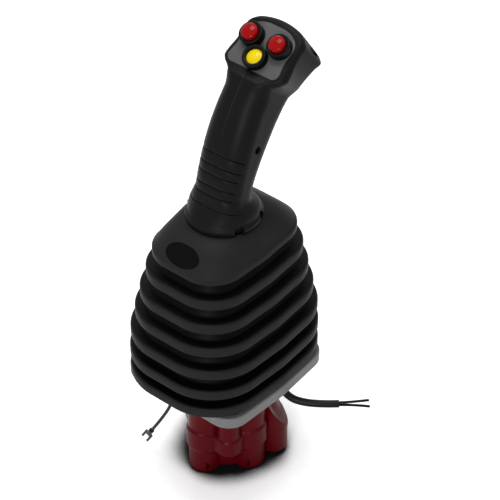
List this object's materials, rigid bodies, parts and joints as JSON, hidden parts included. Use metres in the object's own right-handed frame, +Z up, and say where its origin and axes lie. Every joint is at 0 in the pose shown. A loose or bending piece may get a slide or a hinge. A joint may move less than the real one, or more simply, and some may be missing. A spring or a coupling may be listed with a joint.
{
  "type": "hydraulic joystick control",
  "caption": "Tilting joystick control with an ergonomic push-button grip, rubber bellows, flange plate, sprung plungers and a cast valve body with ports underneath.",
  "frame": {"origin": "centre of the flange plate's underside, where it meets the panel it is mounted on", "axes": "+Z up along the lever, +Y ahead of the operator, +X to the operator's right"},
  "size_m": [0.1501, 0.1465, 0.353],
  "materials": {
    "body_paint": "dark red gloss paint on cast metal",
    "plate_steel": "zinc-plated steel, satin",
    "screw_steel": "blackened steel",
    "machined_steel": "machined steel",
    "spring_steel": "spring steel wire",
    "bush_brass": "machined brass",
    "bellows_rubber": "black moulded rubber, satin",
    "seal_rubber": "black rubber",
    "cable_jacket": "black cable jacket",
    "core_insulation": "black wire insulation",
    "tinned_copper": "tinned copper",
    "grip_plastic": "black moulded plastic, fine satin",
    "panel_plastic": "grey moulded plastic",
    "bezel_plastic": "black moulded plastic",
    "switch_plastic": "dark grey moulded plastic",
    "cap_red": "glossy red plastic",
    "cap_yellow": "glossy yellow plastic"
  },
  "bodies": {
    "valve": {"valve_body": "body_paint", "flange_plate": "plate_steel", "assembly_screws": "screw_steel", "joint_fork": "machined_steel", "bellows": "bellows_rubber", "bellows_clamp": "plate_steel", "cable_grommet": "seal_rubber", "earth_wire_grommet": "seal_rubber", "cable": "cable_jacket", "core_wire_upper": "core_insulation", "core_wire_lower": "core_insulation", "earth_wire": "cable_jacket", "fork_terminal": "tinned_copper", "guide_bush_1": "bush_brass", "wiper_ring_1": "seal_rubber", "return_spring_1": "spring_steel", "guide_bush_2": "bush_brass", "wiper_ring_2": "seal_rubber", "return_spring_2": "spring_steel", "guide_bush_3": "bush_brass", "wiper_ring_3": "seal_rubber", "return_spring_3": "spring_steel", "guide_bush_4": "bush_brass", "wiper_ring_4": "seal_rubber", "return_spring_4": "spring_steel"},
    "cross": {"joint_cross": "machined_steel"},
    "lever": {"swash_plate": "machined_steel", "lever_rod": "machined_steel", "lock_nut": "screw_steel", "grip_insert": "machined_steel", "grip_shell_left": "grip_plastic", "grip_shell_right": "grip_plastic", "shell_screw": "screw_steel", "foot_grub_screws": "screw_steel", "button_panel": "panel_plastic", "bezel_left": "bezel_plastic", "switch_left": "switch_plastic", "bezel_right": "bezel_plastic", "switch_right": "switch_plastic", "bezel_lower": "bezel_plastic", "switch_lower": "switch_plastic"},
    "plunger_1": {"plunger_1": "machined_steel", "metering_spool_1": "machined_steel"},
    "plunger_2": {"plunger_2": "machined_steel", "metering_spool_2": "machined_steel"},
    "plunger_3": {"plunger_3": "machined_steel", "metering_spool_3": "machined_steel"},
    "plunger_4": {"plunger_4": "machined_steel", "metering_spool_4": "machined_steel"},
    "button_left": {"button_cap_left": "cap_red"},
    "button_right": {"button_cap_right": "cap_red"},
    "button_lower": {"button_cap_lower": "cap_yellow"}
  },
  "joints": [
    {"name": "tilt_fore_aft", "type": "hinge", "parent": "valve", "child": "cross", "pos_m": [0, 0, 0.0265], "axis": [1, 0, 0], "range_deg": [-18, 18], "stiffness_Nm_per_rad": 4},
    {"name": "tilt_side", "type": "hinge", "parent": "cross", "child": "lever", "pos_m": [0, 0, 0.0265], "axis": [0, 1, 0], "range_deg": [-18, 18], "stiffness_Nm_per_rad": 4, "deforming": ["bellows"]},
    {"name": "plunger_1_slide", "type": "slide", "parent": "valve", "child": "plunger_1", "axis": [0, 0, 1], "range_m": [-0.0085, 0.0085], "deforming": ["return_spring_1"]},
    {"name": "plunger_2_slide", "type": "slide", "parent": "valve", "child": "plunger_2", "axis": [0, 0, 1], "range_m": [-0.0085, 0.0085], "deforming": ["return_spring_2"]},
    {"name": "plunger_3_slide", "type": "slide", "parent": "valve", "child": "plunger_3", "axis": [0, 0, 1], "range_m": [-0.0085, 0.0085], "deforming": ["return_spring_3"]},
    {"name": "plunger_4_slide", "type": "slide", "parent": "valve", "child": "plunger_4", "axis": [0, 0, 1], "range_m": [-0.0085, 0.0085], "deforming": ["return_spring_4"]},
    {"name": "button_left_press", "type": "slide", "parent": "lever", "child": "button_left", "axis": [0, -0.5592, 0.829], "range_m": [-0.0018, 0], "stiffness_N_per_m": 800},
    {"name": "button_right_press", "type": "slide", "parent": "lever", "child": "button_right", "axis": [0, -0.5592, 0.829], "range_m": [-0.0018, 0], "stiffness_N_per_m": 800},
    {"name": "button_lower_press", "type": "slide", "parent": "lever", "child": "button_lower", "axis": [0, -0.5592, 0.829], "range_m": [-0.0018, 0], "stiffness_N_per_m": 800}
  ],
  "couplings": [
    {"joint": "plunger_1_slide", "follows": "tilt_fore_aft", "m_per_rad": 0.027},
    {"joint": "plunger_2_slide", "follows": "tilt_side", "m_per_rad": -0.027},
    {"joint": "plunger_3_slide", "follows": "tilt_fore_aft", "m_per_rad": -0.027},
    {"joint": "plunger_4_slide", "follows": "tilt_side", "m_per_rad": 0.027}
  ]
}
